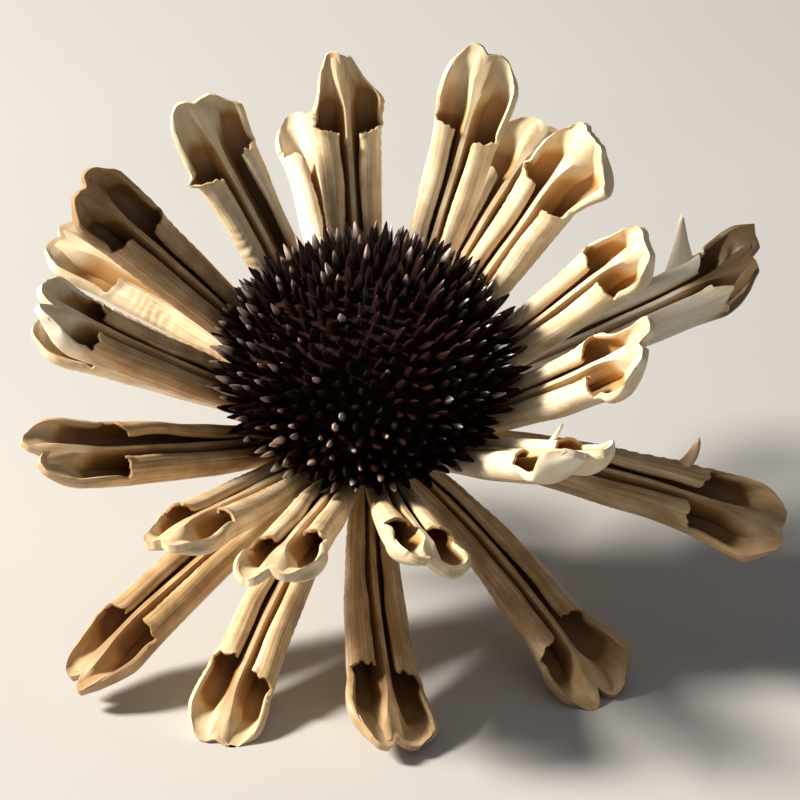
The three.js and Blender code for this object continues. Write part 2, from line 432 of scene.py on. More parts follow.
barkLook = {
    "dark": "#1B120C",
    "brown": "#4A3424",
    "ridge": 0.5,  # mm across a ridge of the bark
    "stretch": 0.12,  # less makes the ridges longer
    "roughness": 0.72,
}


def makeStemBark():
    # Dried herb stalk: dark brown ribbed bark, dull, with paler scuffs along the ribs.
    look = barkLook
    bark = newMaterial("driedStemBark")
    spot = addNode(bark, "TexCoord").outputs["Object"]
    turned = addNode(
        bark,
        "Mapping",
        {"Vector": spot, "Rotation": (-laid["lean"], 0, 0), "Scale": (1, 1, look["stretch"])},
    )
    strands = addNode(
        bark,
        "TexNoise",
        {"Vector": turned.outputs[0], "Scale": 1000 / look["ridge"], "Detail": 4.0},
    )
    colour = addNode(
        bark,
        "ValToRGB",
        {"Fac": strands.outputs["Fac"]},
        stops=[(0.35, look["dark"]), (0.75, look["brown"])],
    )
    relief = addNode(
        bark, "Bump", {"Height": strands.outputs["Fac"], "Strength": 0.6, "Distance": 0.0002}
    )
    shader = addNode(
        bark,
        "BsdfPrincipled",
        {
            "Base Color": colour.outputs["Color"],
            "Roughness": look["roughness"],
            "Normal": relief.outputs[0],
            "IOR": 1.5,
        },
    )
    addNode(bark, "OutputMaterial", {"Surface": shader.outputs[0]})
    return bark


pithLook = {
    "pale": "#C9B48C",
    "brown": "#7B5E3B",
    "cell": 0.35,  # mm across a cell; a real one is 0.1, drawn coarser so that it shows
    "roughness": 0.85,
}


def makePith():
    # Cut pith: pale, dry and open-celled, quite dull.
    look = pithLook
    pith = newMaterial("cutPith")
    spot = addNode(pith, "TexCoord").outputs["Object"]
    cells = addNode(pith, "TexVoronoi", {"Vector": spot, "Scale": 1000 / look["cell"]})
    colour = addNode(
        pith,
        "ValToRGB",
        {"Fac": cells.outputs["Distance"]},
        stops=[(0.2, look["pale"]), (0.9, look["brown"])],
    )
    relief = addNode(
        pith, "Bump", {"Height": cells.outputs["Distance"], "Strength": 0.5, "Distance": 0.0002}
    )
    shader = addNode(
        pith,
        "BsdfPrincipled",
        {
            "Base Color": colour.outputs["Color"],
            "Roughness": look["roughness"],
            "Normal": relief.outputs[0],
        },
    )
    addNode(pith, "OutputMaterial", {"Surface": shader.outputs[0]})
    return pith


huskWood = makeHuskWood()
bristleHorn = makeBristleHorn()
dryChaff = makeChaff()
stemBark = makeStemBark()
cutPith = makePith()
print("materials made")

# ---- the petals
# where the feet of a tier are, from the collar's middle
upperRoot = {"reach": 7.2, "height": 0.5}
lowerRoot = {"reach": 6.6, "height": -1.4}

# turn is counted from the front towards the right and rise from level, in degrees. long is the
# length in millimetres. roll turns the tip about the petal's length, curl bends it up and sweep
# to its left. mouths shift the left and right pockets outwards, lobes draw out the lip's two
# halves.
upperPetals = [
    dict(turn=-175, rise=43, long=36, roll=4, curl=10, sweep=0, mouths=(0.3, 0), lobes=(0.7, 0.1)),
    dict(turn=-143, rise=43, long=36, roll=-14, curl=12, sweep=5, mouths=(-0.4, 1.4), lobes=(0.8, 0.4)),
    dict(turn=-114, rise=41, long=38, roll=-10, curl=8, sweep=4, mouths=(1.2, -0.6), lobes=(0.2, 1)),
    dict(turn=-87, rise=40, long=38.8, roll=8, curl=6, sweep=-5, mouths=(2.6, 1.2), lobes=(1.4, 0.6)),
    dict(turn=-63, rise=31, long=39, roll=-6, curl=-10, sweep=-22, mouths=(0.6, -0.8), lobes=(0.4, 0.9)),
    dict(turn=-37, rise=33, long=36.5, roll=28, curl=-6, sweep=-6, mouths=(0.2, 1.4), lobes=(0.8, 0.3)),
    dict(turn=-17, rise=37, long=37, roll=18, curl=4, sweep=-8, mouths=(0, 2.4), lobes=(0.3, 1.3)),
    dict(turn=12, rise=40, long=37, roll=-34, curl=10, sweep=6, mouths=(-1.2, -1), lobes=(-1.1, 1.9)),
    dict(turn=48, rise=43, long=36, roll=-32, curl=8, sweep=0, mouths=(0.2, -1.5), lobes=(1, 0.6)),
    dict(turn=76, rise=46, long=36, roll=14, curl=17, sweep=4, mouths=(-0.6, 0.8), lobes=(1.9, 0.7)),
    dict(turn=101, rise=46, long=36, roll=6, curl=15, sweep=-6, mouths=(1, 1.5), lobes=(0.6, 0.4)),
    dict(turn=130, rise=44, long=36, roll=-6, curl=10, sweep=-5, mouths=(1, -0.8), lobes=(1.3, 0.8)),
    dict(turn=157, rise=42, long=38, roll=8, curl=8, sweep=3, mouths=(0.4, -0.4), lobes=(1.2, 0.7)),
]
lowerPetals = [
    dict(turn=-43, rise=0, long=41.5, roll=14, curl=-6, sweep=6, mouths=(0, 0.8), lobes=(1.2, 0.4)),
    dict(turn=-21, rise=2.5, long=40.5, roll=4, curl=0, sweep=10, mouths=(0.7, -0.4), lobes=(0.5, 0.8)),
    dict(turn=4, rise=7.5, long=39.5, roll=-22, curl=10, sweep=12, mouths=(0.4, 0), lobes=(0.6, 1.8)),
    dict(turn=36, rise=-3.4, long=38, roll=-6, curl=-4, sweep=-16, mouths=(-0.6, 0.9), lobes=(0.9, 0.9)),
    dict(turn=71, rise=3, long=43.5, roll=6, curl=-14, sweep=-4, mouths=(1, 0), lobes=(0.6, 1)),
    dict(turn=112, rise=8, long=42.5, roll=-8, curl=6, sweep=5, mouths=(4.4, 4.6), lobes=(1.9, 0.6)),
    dict(turn=152, rise=6, long=38.5, roll=6, curl=6, sweep=-6, mouths=(0.5, 0.5), lobes=(0.7, 0.4)),
    dict(turn=-170, rise=3, long=36.5, roll=-8, curl=10, sweep=4, mouths=(3, 1), lobes=(1, 0.8)),
    dict(turn=-123, rise=4, long=37.5, roll=10, curl=6, sweep=8, mouths=(-0.8, 0.4), lobes=(0.5, 1.1)),
    dict(turn=-101, rise=18, long=33.8, roll=-6, curl=4, sweep=-4, mouths=(0.6, 0), lobes=(0.8, 0.5)),
]

# How the ends differ, by a petal's turn: flares widen the lip's left and right, cups move the far
# ends of the pockets outwards, corners take more off the lip's outer corners, spurs stick out
# sideways where a flap ends, teeth draw a flap's end out to a point, gapes draw a flap's free edge
# back from the slit, crests raise a flap, dips lower a cup's rim, veer shifts the lip to the
# petal's left and up lifts it, all in millimetres. notch parts the lip's two lobes, narrow is the
# share of its width that the lip loses and pales the share of its brown that an open pocket loses.
# The last two make a petal, and its lip alone, browner, or paler below nought: partly its own
# weathering, partly painted shade where it lies in shade and painted light where it is lit.
plainEnd = dict(
    flares=(0.3, 0.3),
    cups=(0, 0),
    corners=(0, 0),
    spurs=(0.2, 0.2),
    teeth=(0, 0),
    gapes=(0, 0),
    crests=(0, 0),
    dips=(0, 0),
    pales=(0, 0),
    veer=0,
    up=0,
    notch=0.4,
    narrow=0,
    browningAndShade=0,
    lipBrowningAndShade=0,
)
petalEnds = {
    -175: dict(
        flares=(-0.2, 0.3), cups=(-0.8, 0.3), corners=(2, 1.4), veer=0.5, up=-0.4,
        notch=-0.4, narrow=0.27, browningAndShade=0.05,
    ),
    -143: dict(
        flares=(-0.3, 0.4), cups=(-1.2, 1.3), spurs=(1.1, 0.2), gapes=(0, 1),
        notch=0.2, browningAndShade=0.03,
    ),
    -114: dict(flares=(0.2, 0), cups=(0.3, 0.9), up=0.3, notch=0.3, browningAndShade=0.22, lipBrowningAndShade=0.1),
    -87: dict(flares=(0.5, 0.3), cups=(0.5, 0), up=0.8, notch=1.5, browningAndShade=0.21, lipBrowningAndShade=-0.25),
    -63: dict(
        flares=(0.2, 0.5), cups=(0, 0.3), crests=(0, 1.3), up=-0.6,
        notch=0.6, browningAndShade=0.26, lipBrowningAndShade=-0.1,
    ),
    -37: dict(
        flares=(1.1, -1.2), cups=(0.5, 0.3), corners=(0.2, 0.4), up=-0.3, notch=0.3, browningAndShade=0.06,
    ),
    -17: dict(
        flares=(1.2, 0.5), cups=(0.4, -0.6), corners=(0.8, -0.6), up=-0.7, notch=0.5, browningAndShade=0.02,
    ),
    12: dict(
        flares=(1.2, 0.5), cups=(-0.8, 0.4), corners=(0.5, -0.6), veer=-0.5, up=-0.5, notch=0.3,
    ),
    48: dict(flares=(0.3, 0.6), cups=(0, 0.2), dips=(0, 1.2), up=0.9, notch=1.5, browningAndShade=-0.04),
    76: dict(
        flares=(-1.5, 1), cups=(-1.1, -0.5), corners=(-0.7, 0.3), up=0.3, notch=0.7, browningAndShade=-0.06,
    ),
    101: dict(flares=(-1, 0.5), cups=(0.3, 0.2), corners=(0.5, 0.2), notch=-0.1, browningAndShade=-0.03),
    130: dict(
        flares=(0, 2.4), cups=(-0.2, 0.5), corners=(1.4, 1.3), spurs=(0.6, 0),
        notch=-0.3, browningAndShade=0.02,
    ),
    157: dict(flares=(0.2, 0.3), cups=(-0.7, 0.3), pales=(0.6, 0), up=-0.5, notch=0.2),
    -43: dict(flares=(0.2, -0.3), cups=(0, -1.3), up=0.4, notch=0.9, narrow=0.2, browningAndShade=0.2),
    -21: dict(browningAndShade=0.14),
    4: dict(flares=(0.9, 0.8), cups=(0.3, -0.3), notch=0.6, browningAndShade=0.18),
    36: dict(
        flares=(1.9, 0.3), cups=(0, -0.3), corners=(-0.8, 0.2), veer=0.4, notch=2.0, browningAndShade=0.19,
    ),
    71: dict(flares=(0, 1), cups=(0.4, 0.6), notch=0.2, browningAndShade=0.19, lipBrowningAndShade=0.04),
    # painted light keeps its flaps pale, and painted shadow darkens its lip
    112: dict(
        flares=(0.5, 0.6), cups=(0.5, 0.3), corners=(-1.6, -0.8), teeth=(0.5, 2.4), up=1.5,
        notch=0.3, browningAndShade=-0.16, lipBrowningAndShade=0.7,
    ),
    152: dict(flares=(0.6, 0.6), cups=(-0.5, 0), notch=0.2, up=-0.4, browningAndShade=0.05),
    -170: dict(pales=(0.5, 0), browningAndShade=-0.08),
    -123: dict(flares=(0.3, 0.5), notch=0.4, browningAndShade=-0.05),
}

husk = {
    "rings": 60,  # of the cage, along the husk
    "mouthRing": 42,  # where the flaps end
    "straight": 37.0,  # length of the straight husk that all are made from
    "wall": 0.46,  # thickness of the skin
    "ripple": 0.075,  # height of the fine cross wrinkles
    "rippleStep": 1.25,  # from wrinkle to wrinkle
    "mouthArc": (0.4, 0.9),  # how far a flap's edge is hollowed, and its inner corner rounded off
    "turnUp": 0.24,  # how far a flap's end turns up
    "turnUpReach": 0.013,  # over how much of the husk, as a share of its length
    "rim": 0.2,  # how far the rims of the cups stand out on each side
    "lipFill": 1.15,  # how much thicker the lip is than the skin
    "lipFrom": (0.81, 0.095),  # where it begins, and over how much of the husk it rises
    "brownTo": (0.838, 0.05),  # where a pocket's brown begins to fade, and over how much
    "lobeBack": 0.035,  # how much further out both are in the middle of a lobe
    "lipCorner": 1.2,  # how far the lip's outer corners lie behind its lobes
    "cupWidth": 4.3,  # half width at the cups
    "uneven": (0.22, 0.2),  # how far the skin wanders sideways, and up and down
    "wander": 0.16,  # more makes it wander in shorter waves
    "spur": (0.016, 0.9),  # how far a spur reaches along the husk, and in stations round it
    "jag": 0.5,  # how ragged the flaps' ends are
    "jagReach": 0.02,  # over how much of the husk
    "jagStep": 13,  # more makes finer teeth
    "lipJag": 0.3,  # how ragged the lip's edge is, as a share of the flaps'
}
mouthShare = 0.775  # where the flaps end, as a share of the husk's length
# places along the husk, as shares of its length, and the half width, the depth and the heights of
# the pockets' rims, the flaps' crowns and the thin wall's top there, in millimetres
alongShares = [0, 0.2, 0.44, 0.66, mouthShare, 0.865, 0.925, 0.965, 1]
halfWidths = [2, 2.6, 3.3, 3.8, 4.15, 4.35, 4.3, 4, 3.1]
bellies = [1.2, 1.5, 1.8, 2, 2.1, 2.1, 1.75, 1.2, 0.5]
rims = [0.3, 0.5, 0.7, 0.8, 0.9, 1, 0.95, 0.75, 0.5]
crowns = [0.95, 1.3, 1.62, 1.78, 1.9, 1.9, 1.9, 1.9, 1.9]
ridges = [0.7, 1, 1.25, 1.4, 1.45, 1.3, 1, 0.72, 0.45]
# round half of the skin, from the groove below to the flap's free edge: share of the half width,
# and share of the depth (under) or of the way from rim to crown (over)
underSkin = [
    (0, -0.62), (0.14, -0.74), (0.3, -0.93), (0.5, -1),
    (0.7, -0.92), (0.87, -0.68), (0.98, -0.3), (1.02, 0.1),
]
overSkin = [
    (0.97, 0), (0.9, 0.5), (0.78, 0.88), (0.61, 1.06), (0.44, 1.02), (0.31, 0.74), (0.25, 0.0),
]
rimStation = len(underSkin)
stations = len(underSkin) + len(overSkin) - 1


def sectionAt(share, column):
    return np.interp(share, alongShares, column)


def rollSkin(share, around):  # where a point of the flat strip lies once the strip is rolled up
    station = np.abs(around) * stations
    place = np.arange(stations + 1)
    across = np.interp(station, place, [s[0] for s in underSkin + overSkin])
    part = np.interp(station, place, [s[1] for s in underSkin] + [s[1] for s in overSkin])
    rim = sectionAt(share, rims)
    crown = sectionAt(share, crowns)
    under = part * sectionAt(share, bellies)
    over = rim + part * (crown - rim)
    height = np.where(station >= rimStation - 0.5, over, under)
    seam = np.clip(station - (rimStation - 1), 0, 1)  # joins the two rules between their stations
    lastUnder = underSkin[-1][1] * sectionAt(share, bellies)
    height = np.where((seam > 0) & (seam < 1), lastUnder * (1 - seam) + rim * seam, height)
    sideways = np.sign(around) * across * sectionAt(share, halfWidths)
    return np.stack([share * husk["straight"], sideways, height], 1)


def makeStraightHusk():
    deselectAll()
    bpy.ops.mesh.primitive_grid_add(
        x_subdivisions=husk["rings"], y_subdivisions=2 * stations, size=2
    )
    skin = nameNew("straightHusk")
    flat = pointsOf(skin)
    ringShare = (flat[:, 0] + 1) / 2
    mouthAt = husk["mouthRing"] / husk["rings"]
    share = np.interp(ringShare, [0, mouthAt, 1], [0, mouthShare, 1])
    around = flat[:, 1]
    writeNumbers(skin, "share", share)
    writeNumbers(skin, "around", around)
    movePoints(skin, rollSkin(share, around))
    # beyond the mouth the flaps are gone
    shares = list(share)
    arounds = list(around)
    tolerance = 1e-4
    rimAround = rimStation / stations
    editFaces(
        skin,
        lambda face: min(shares[v.index] for v in face.verts) > mouthShare - tolerance
        and min(abs(arounds[v.index]) for v in face.verts) > rimAround - tolerance,
    )
    bpy.ops.mesh.delete(type="FACE")
    bpy.ops.mesh.select_all(action="SELECT")
    bpy.ops.mesh.flip_normals()  # rolled up, the strip faces inwards
    bpy.ops.object.mode_set(mode="OBJECT")
    skin.vertex_groups.new(name="inside")
    wall = skin.modifiers.new("wall", "SOLIDIFY")
    wall.thickness = husk["wall"]
    wall.offset = -1
    wall.shell_vertex_group = "inside"
    rounded = skin.modifiers.new("rounded", "SUBSURF")
    rounded.levels = 1
    rounded.render_levels = 1
    applyModifiers(skin)
    share = readNumbers(skin, "share")
    around = readNumbers(skin, "around")
    inside = weightsOf(skin, "inside")
    points = pointsOf(skin)
    # the lip is thicker than the skin
    lobe = 1 - (2 * np.abs(points[:, 1]) / sectionAt(share, halfWidths) - 1) ** 2
    back = husk["lobeBack"] * lobe
    inward = 1 - ease(0.72, 1, np.abs(around) * stations / rimStation)
    start, rise = husk["lipFrom"]
    fill = husk["lipFill"] * ease(0, 1, (share - start - back) / rise) * inside * inward
    points[:, 2] += fill * (1 - 0.45 * ease(0.95, 1, share))
    # the flaps turn up a little where they end, and the cups have thick rims
    side = np.abs(around)
    atMouth = swelling(mouthShare, husk["turnUpReach"], share)
    turnUp = atMouth * ease(rimStation, rimStation + 2, side * stations)
    points[:, 2] += husk["turnUp"] * turnUp
    rim = ease(0.42, 0.57, side) * ease(0.75, 0.82, share) * (1 - 0.5 * ease(0.93, 1, share))
    points += pointsOf(skin, "normal") * (husk["rim"] * rim)[:, None]
    movePoints(skin, points)
    # where the fine cross wrinkles go: the outside, strongest on the flaps' outer sides
    strength = ease(0.25, 0.6, side) * (1 - 0.55 * ease(0.65, 0.8, side))
    strength = strength * (1 - ease(0.8, 0.9, share))
    writeNumbers(skin, "wrinkle", strength * (1 - inside) * ease(0.05, 0.2, share))
    # how much of a pocket's brown each point has, with painted shade that darkens it further into the
    # tube
    opened = ease(mouthShare - 0.01, mouthShare + 0.02, share)
    low = np.clip((sectionAt(share, rims) - 0.25 - points[:, 2]) / 0.9, 0, 1)
    paintedDepthShade = 1 - ease(0.71, 0.86, share)
    start, fade = husk["brownTo"]
    faded = ease(0, 1, (share - start - back) / fade)
    pocket = inside * (1 - faded) * (1 - opened * (1 - low)) * (0.55 + 0.45 * paintedDepthShade)
    # and the flaps' free edges have a little of it
    edge = 0.3 * ease(0.93, 1, side) * (1 - ease(0.76, 0.8, share))
    writeNumbers(skin, "pocket", np.maximum(pocket, edge))
    writeNumbers(skin, "lip", ease(0.82, 0.9, share))
    grain = np.stack([points[:, 0], around * 11, inside * 20], 1)
    writeNumbers(skin, "grainPlace", grain)
    return skin


septumShape = {
    "steps": 40,  # in which it is drawn out
    "end": 0.985,  # how far out it goes, as a share of the husk's length
    "thick": 0.42,  # half its thickness at the top
    "foot": 0.75,  # how much thicker it is at its foot
    "inLip": 0.95,  # and in the lip
}


def makeSeptum():  # the thin wall between the two chambers, which ends as the ridge of the lip
    deselectAll()
    bpy.ops.mesh.primitive_cube_add(size=2)
    wall = nameNew("septum")
    bpy.ops.object.mode_set(mode="EDIT")
    bpy.ops.mesh.subdivide(number_cuts=3)
    bpy.ops.object.mode_set(mode="OBJECT")
    editFaces(wall, lambda face: face.normal.x > 0.9)
    for step in range(septumShape["steps"]):
        bpy.ops.mesh.extrude_region_move(TRANSFORM_OT_translate={"value": (2, 0, 0)})
    bpy.ops.object.mode_set(mode="OBJECT")
    points = pointsOf(wall)
    share = (points[:, 0] + 1) / (2 + 2 * septumShape["steps"]) * septumShape["end"]
    top = sectionAt(share, ridges)
    foot = -0.72 * sectionAt(share, bellies) + 0.2
    upward = (points[:, 2] + 1) / 2
    thick = septumShape["thick"] + septumShape["foot"] * ease(0.2, 0.8, 1 - upward)
    thick = thick + septumShape["inLip"] * ease(0.82, 0.97, share)
    thick *= (1 - 0.35 * ease(0.75, 1, upward)) * (0.6 + 0.4 * ease(0, 0.35, share))
    along = share * husk["straight"]
    place = np.stack([along, points[:, 1] * thick, foot + (top - foot) * upward], 1)
    movePoints(wall, place)
    writeNumbers(wall, "share", share)
    writeNumbers(wall, "around", points[:, 1] * 0.02)
    writeNumbers(wall, "wrinkle", np.zeros(len(points)))
    pocket = 0.55 * (1 - ease(0.6, 0.98, upward)) * (1 - ease(0.84, 0.9, share)) + 0.08
    writeNumbers(wall, "pocket", pocket)
    writeNumbers(wall, "lip", ease(0.8, 0.88, share))
    grain = np.stack([place[:, 0], upward * 2 + 30, points[:, 1]], 1)
    writeNumbers(wall, "grainPlace", grain)
    return wall


thorn = {"sunk": 0.7, "rings": 12}
# By a petal's turn: where it stands (along from the mouth, across, height), how tall it is, how far
# it reaches outwards and to the petal's left, and its girth along and across the husk. slim is how
# fast it tapers and blunt the girth that is left at its tip.
thorns = {
    48: dict(
        foot=(-4.6, 2.3, 1.4), tall=2.6, reach=2.6, aside=1.3, curve=1.2,
        girth=(0.75, 0.5), slim=0.8, blunt=0.2,
    ),
    71: dict(
        foot=(-5.4, 2.6, 1.4), tall=3.6, reach=2.9, aside=3.2, curve=1.8,
        girth=(1.1, 0.7), slim=0.8, blunt=0.42,
    ),
    112: dict(
        foot=(-3.2, 2.6, 1.2), tall=4.9, reach=3, aside=4.4, curve=1,
        girth=(2.5, 0.7), slim=1.7, blunt=0.2,
    ),
}


def makeThorn(petal):  # a splinter left standing on a flap
    deselectAll()
    bpy.ops.mesh.primitive_cylinder_add(vertices=12, radius=1, depth=1, end_fill_type="TRIFAN")
    spike = nameNew("thorn")
    bpy.ops.object.mode_set(mode="EDIT")
    for ring in range(1, thorn["rings"]):
        bpy.ops.mesh.select_all(action="SELECT")
        height = ring / thorn["rings"] - 0.5
        bpy.ops.mesh.bisect(plane_co=(0, 0, height), plane_no=(0, 0, 1))
    bpy.ops.object.mode_set(mode="OBJECT")
    own = thorns[petal["turn"]]
    points = pointsOf(spike)
    up = points[:, 2] + 0.5
    tapered = (1 - up) ** own["slim"] * (1 - own["blunt"])
    slim = tapered + own["blunt"] * np.sqrt(np.maximum(1 - up**6, 0))
    outward = own["curve"] * up - (own["curve"] - 1) * up**2
    x = own["reach"] * outward + points[:, 0] * own["girth"][0] * slim
    y = own["aside"] * up ** own["curve"] + points[:, 1] * own["girth"][1] * (0.4 + 0.6 * slim)
    z = own["tall"] * up ** own["curve"] - thorn["sunk"]
    mouth = np.array([mouthShare * petal["long"] + petal["mouths"][0], 0, 0])
    foot = mouth + np.array(own["foot"])
    placed = np.stack([x, y, z], 1) + foot
    movePoints(spike, bendPetal(placed, petal))
    writeNumbers(spike, "share", np.full(len(points), 0.7))
    writeNumbers(spike, "around", np.full(len(points), 0.8))
    writeNumbers(spike, "pocket", 0.12 * up)
    writeNumbers(spike, "lip", np.full(len(points), 0.6))
    grain = np.stack([points[:, 2], points[:, 1] * 3, points[:, 0] + 50], 1)
    writeNumbers(spike, "grainPlace", grain)
    return spike


def bendPetal(points, petal):  # lays straight points on the petal's curled, swept and rolled line
    along, across, height = points.T
    share = along / petal["long"]
    roll = petal["roll"] * degree * share
    swept = petal["sweep"] * degree * along * share / 2
    y = swept + across * np.cos(roll) - height * np.sin(roll)
    z = across * np.sin(roll) + height * np.cos(roll)
    bend = (petal["curl"] or 0.01) * degree / petal["long"]
    turned = bend * along
    x = np.sin(turned) / bend - z * np.sin(turned)
    lift = (1 - np.cos(turned)) / bend + z * np.cos(turned)
    return np.stack([x, y, lift], 1)


def onCollar(petal, root):
    return (
        Matrix.Rotation((petal["turn"] - 90) * degree, 4, "Z")
        @ Matrix.Translation((root["reach"], 0, root["height"]))
        @ Matrix.Rotation(-(petal["rise"] - petal["curl"] / 2) * degree, 4, "Y")
        @ Matrix.Rotation(-petal["sweep"] / 2 * degree, 4, "Z")
    )


def wrinkled(part, seed):  # its points, with cross wrinkles that come and go along the husk
    points = pointsOf(part)
    flat = points[:, :2]
    wobble = np.array([noise.noise(Vector((x * 0.5, y * 0.8, seed))) for x, y in flat])
    patch = np.array([noise.noise(Vector((x * 0.14, y * 0.35, seed + 5))) for x, y in flat])
    wave = np.sin(2 * math.pi * points[:, 0] / husk["rippleStep"] + 5 * wobble)
    height = husk["ripple"] * wave * readNumbers(part, "wrinkle") * ease(-0.3, 0.5, patch)
    return points + pointsOf(part, "normal") * height[:, None]


def ofSide(left, pair):  # the first of the pair on the petal's left, the second on its right
    return np.where(left, pair[0], pair[1])


# gives the straight husk's skin or septum one petal's own shape
def shapePart(part, isSkin, petal, end, seed, width, flapRise):
    points = wrinkled(part, seed)
    share = readNumbers(part, "share")
    around = readNumbers(part, "around")
    side = np.abs(around)
    left = around > 0
    half = sectionAt(share, halfWidths) * width
    along = share * petal["long"]
    # the pockets' mouths, each in its own place, with hollowed edges
    flap = ease(5 / stations, rimStation / stations, side)
    near = ease(0.5, mouthShare, share) * (1 - ease(mouthShare, 0.9, share))
    shift = ofSide(left, petal["mouths"])
    overFlap = np.clip((side * stations - rimStation) / (stations - rimStation), 0, 1)
    hollow, corner = husk["mouthArc"]
    arc = hollow * np.sin(math.pi * overFlap) + corner * ease(0.55, 1, overFlap)
    tooth = ofSide(left, end["teeth"]) * np.maximum(1 - np.abs(overFlap - 0.3) / 0.3, 0)
    along += near * (shift * flap + tooth - arc) * isSkin
    cup = ease(0.79, 0.865, share) * (1 - ease(0.885, 0.99, share))
    along += ofSide(left, end["cups"]) * cup * isSkin
    # the lip's two lobes
    across = points[:, 1] * width
    fromLobe = 2 * np.abs(across) / half - 1
    corner = husk["lipCorner"] + ofSide(left, end["corners"])
    behind = np.where(fromLobe > 0, corner, end["notch"])
    widening = ease(0.77, 0.925, share) * (1 - 0.7 * ease(0.94, 1.0, share))
    across *= 1 + ofSide(left, end["flares"]) / husk["cupWidth"] * widening
    across *= 1 - end["narrow"] * ease(0.84, 0.96, share)
    across += end["veer"] * ease(0.84, 0.98, share)
    gape = ofSide(left, end["gapes"]) * ease(0.2, 1, overFlap)
    across += np.sign(across) * gape * ease(0.1, 0.35, share)
    drawnOut = np.clip((share - 0.82) / 0.18, 0, 1) ** 1.4
    middle = 1 - ease(0, 0.35, np.abs(across) / half)
    lobe = ofSide(left, petal["lobes"]) * (1 - middle) + min(petal["lobes"]) * middle
    along += (lobe - behind * np.abs(fromLobe) ** 2.4) * drawnOut
    # heights of the flaps, the lip and the cups' rims
    height = points[:, 2].copy()
    above = height > 0
    height[above] *= 1 + (flapRise - 1) * (1 - ease(0.7, 0.8, share[above]))
    outer = 0.6 + 0.8 * ease(0, 1, np.abs(across) / half)
    height += end["up"] * ease(0.86, 1, share) * outer
    crest = ofSide(left, end["crests"]) * ease(0.05, 0.6, overFlap)
    height += crest * swelling(0.64, 0.15, share)
    dip = ofSide(left, end["dips"]) * ease(0.3, 0.52, side)
    height -= dip * ease(0.765, 0.84, share) * (1 - ease(0.86, 0.96, share))
    # spurs and ragged edges
    spurLong, spurRound = husk["spur"]
    atCorner = swelling(mouthShare, spurLong, share)
    atCorner = atCorner * swelling(rimStation, spurRound, side * stations)
    across += np.sign(across) * ofSide(left, end["spurs"]) * atCorner
    ragged = swelling(mouthShare, husk["jagReach"], share) * ease(0, 0.15, overFlap)
    ragged += husk["lipJag"] * ease(0.95, 1, share)
    sideways, upwards = husk["uneven"]
    for i in range(len(points)):
        spot = Vector((along[i] * husk["wander"], around[i] * 2 + seed, seed))
        across[i] += sideways * noise.noise(spot) * (0.4 + side[i])
        height[i] += upwards * noise.noise(spot + Vector((7, 3, 1)))
        tear = noise.noise(Vector((around[i] * husk["jagStep"], seed, 2)))
        along[i] += husk["jag"] * ragged[i] * tear
    movePoints(part, bendPetal(np.stack([along, across, height], 1), petal))
    pale = ofSide(left, end["pales"]) * ease(mouthShare, 0.81, share)
    writeNumbers(part, "pocket", readNumbers(part, "pocket") * (1 - pale))


def layPetal(name, petal, root):
    skin = copyOf(straightHusk, name)
    wall = copyOf(septum, name + "Wall")
    seed = draw.uniform(0, 100)
    width = draw.uniform(0.95, 1.05)
    flapRise = draw.uniform(0.9, 1.15)
    end = plainEnd | petalEnds.get(petal["turn"], {})
    for part in (skin, wall):
        shapePart(part, part is skin, petal, end, seed, width, flapRise)
    parts = [skin, wall]
    if petal["turn"] in thorns:
        parts.append(makeThorn(petal))
    # a random tone of its own, browner for weathering and painted shade, or paler for painted light
    tone = draw.uniform(-0.05, 0.05) + end["browningAndShade"]
    for part in parts:
        atTip = ease(0.76, 0.88, readNumbers(part, "share"))
        writeNumbers(part, "tone", tone + end["lipBrowningAndShade"] * atTip)
    whole = joined(parts, name)
    ownGrain = np.array([seed, seed * 0.7, seed * 0.3])  # so that no two are alike
    writeNumbers(whole, "grainPlace", readNumbers(whole, "grainPlace") + ownGrain)
    whole.data.transform(onCollar(petal, root))
    smoothCurves(whole, 50)
    finishPiece(whole, "petals", [huskWood])


straightHusk = makeStraightHusk()
septum = makeSeptum()
for number, petal in enumerate(upperPetals, 1):
    layPetal(f"upperPetal{number:02d}", petal, upperRoot)
for number, petal in enumerate(lowerPetals, 1):
    layPetal(f"lowerPetal{number:02d}", petal, lowerRoot)
for model in (straightHusk, septum):
    bpy.data.objects.remove(model)
print("petals laid", len(upperPetals) + len(lowerPetals))

# ---- the collar of husk feet
collar = {
    "outside": 8.6,  # radius
    "low": -3,
    "high": 2.6,
    "inset": 2.2,  # from ring to ring on its two ends
    "bevel": 1.6,
    "feet": len(upperPetals) + len(lowerPetals),
    "swell": 0.35,  # how far a foot stands out
    "rough": 0.25,  # how uneven its side is
}


